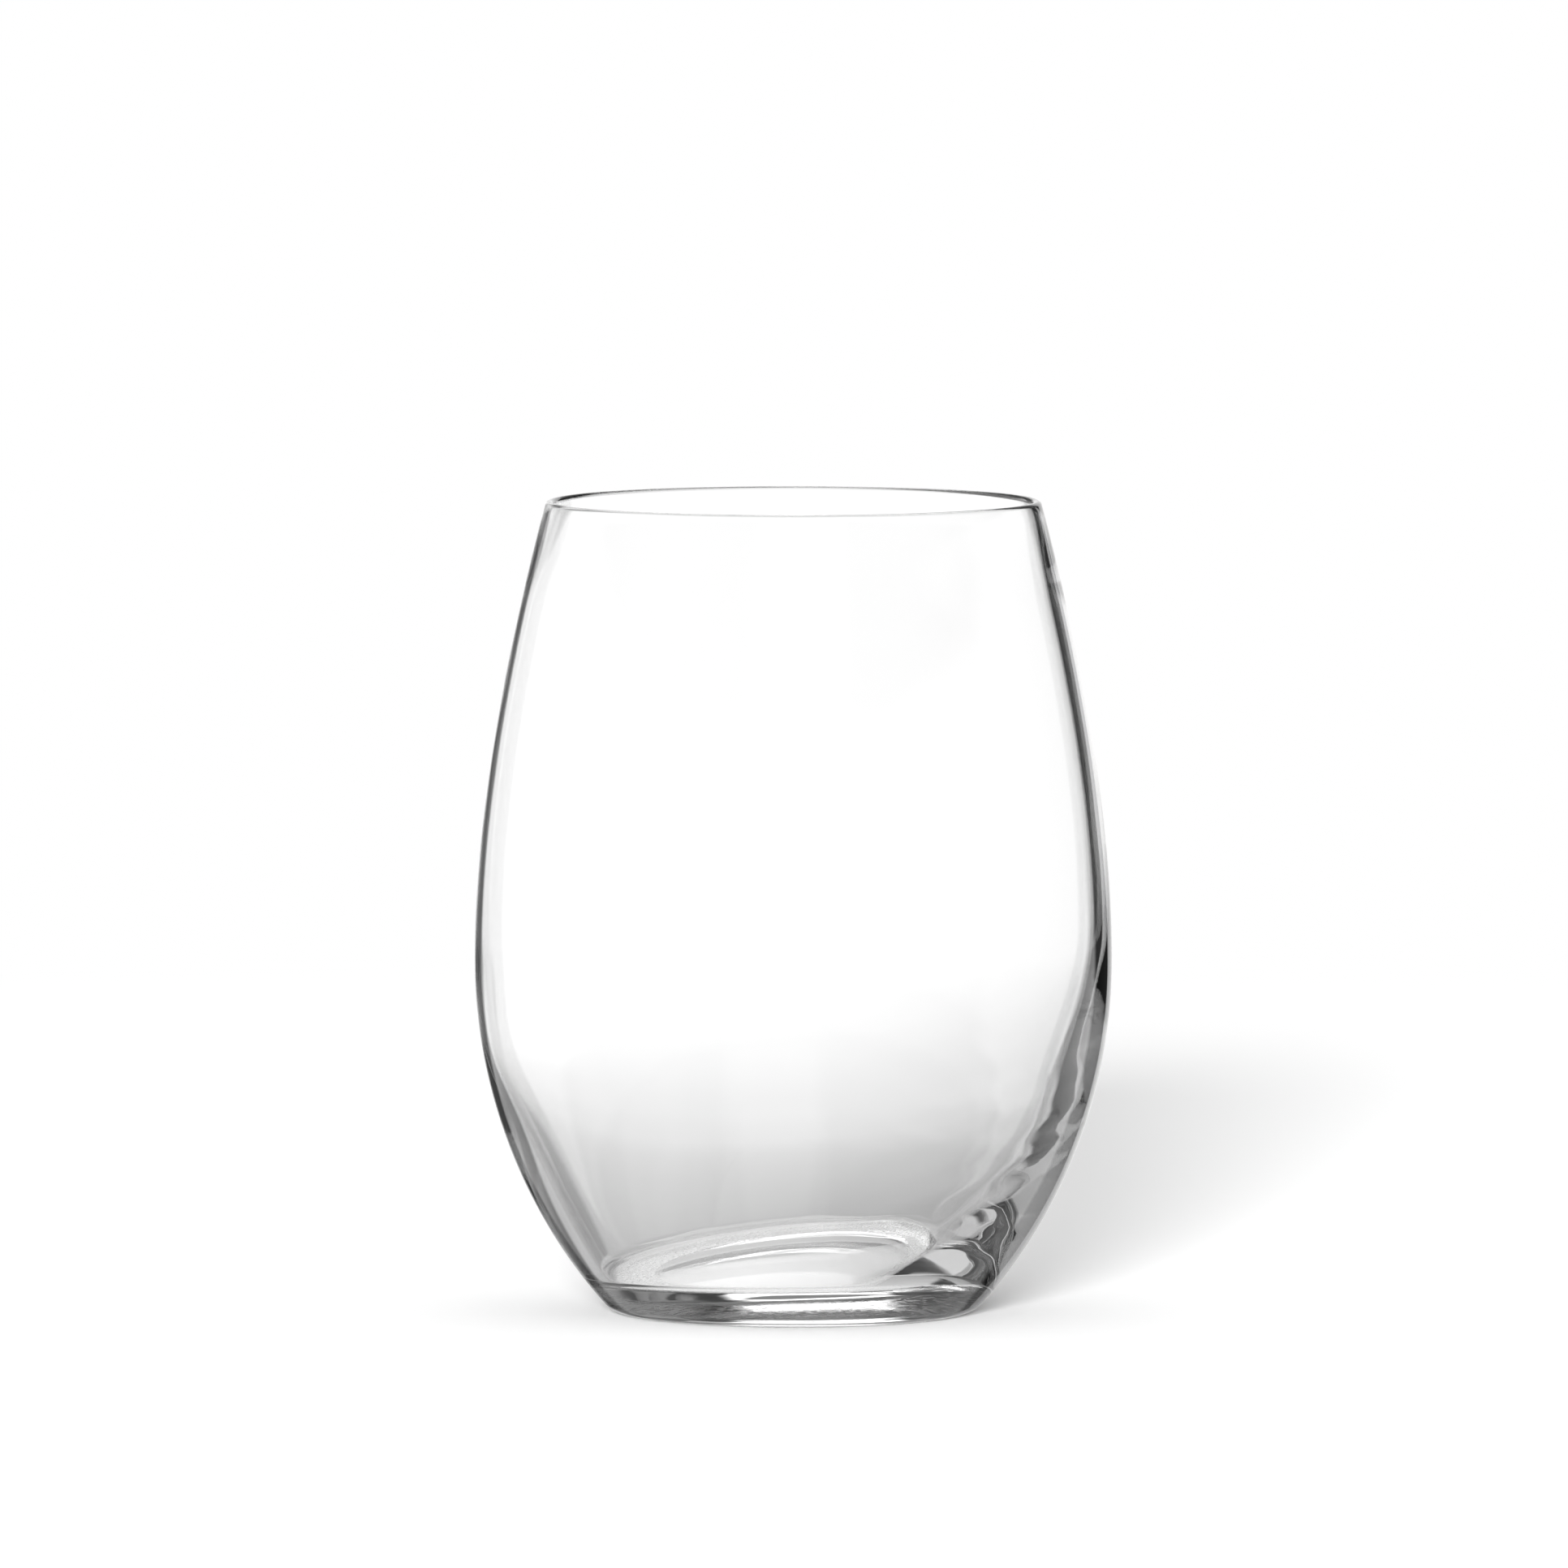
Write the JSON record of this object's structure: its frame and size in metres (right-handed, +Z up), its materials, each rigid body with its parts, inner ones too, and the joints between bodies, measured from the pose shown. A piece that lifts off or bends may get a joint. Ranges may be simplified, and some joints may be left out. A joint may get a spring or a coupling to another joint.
{
  "type": "water glass",
  "caption": "Stemless water glass: clear egg-shaped bowl that narrows to a thin rounded lip, on a thick base with a shallow hollow underside; holds a drink.",
  "frame": {"origin": "on the table, at the middle of the standing ring", "axes": "+Z up along the axis the glass is turned about; X and Y are alike"},
  "size_m": [0.0824, 0.0824, 0.105],
  "materials": {
    "clear_glass": "clear fire-polished soda-lime glass"
  },
  "bodies": {
    "root": {"tumbler": "clear_glass"}
  },
  "joints": []
}
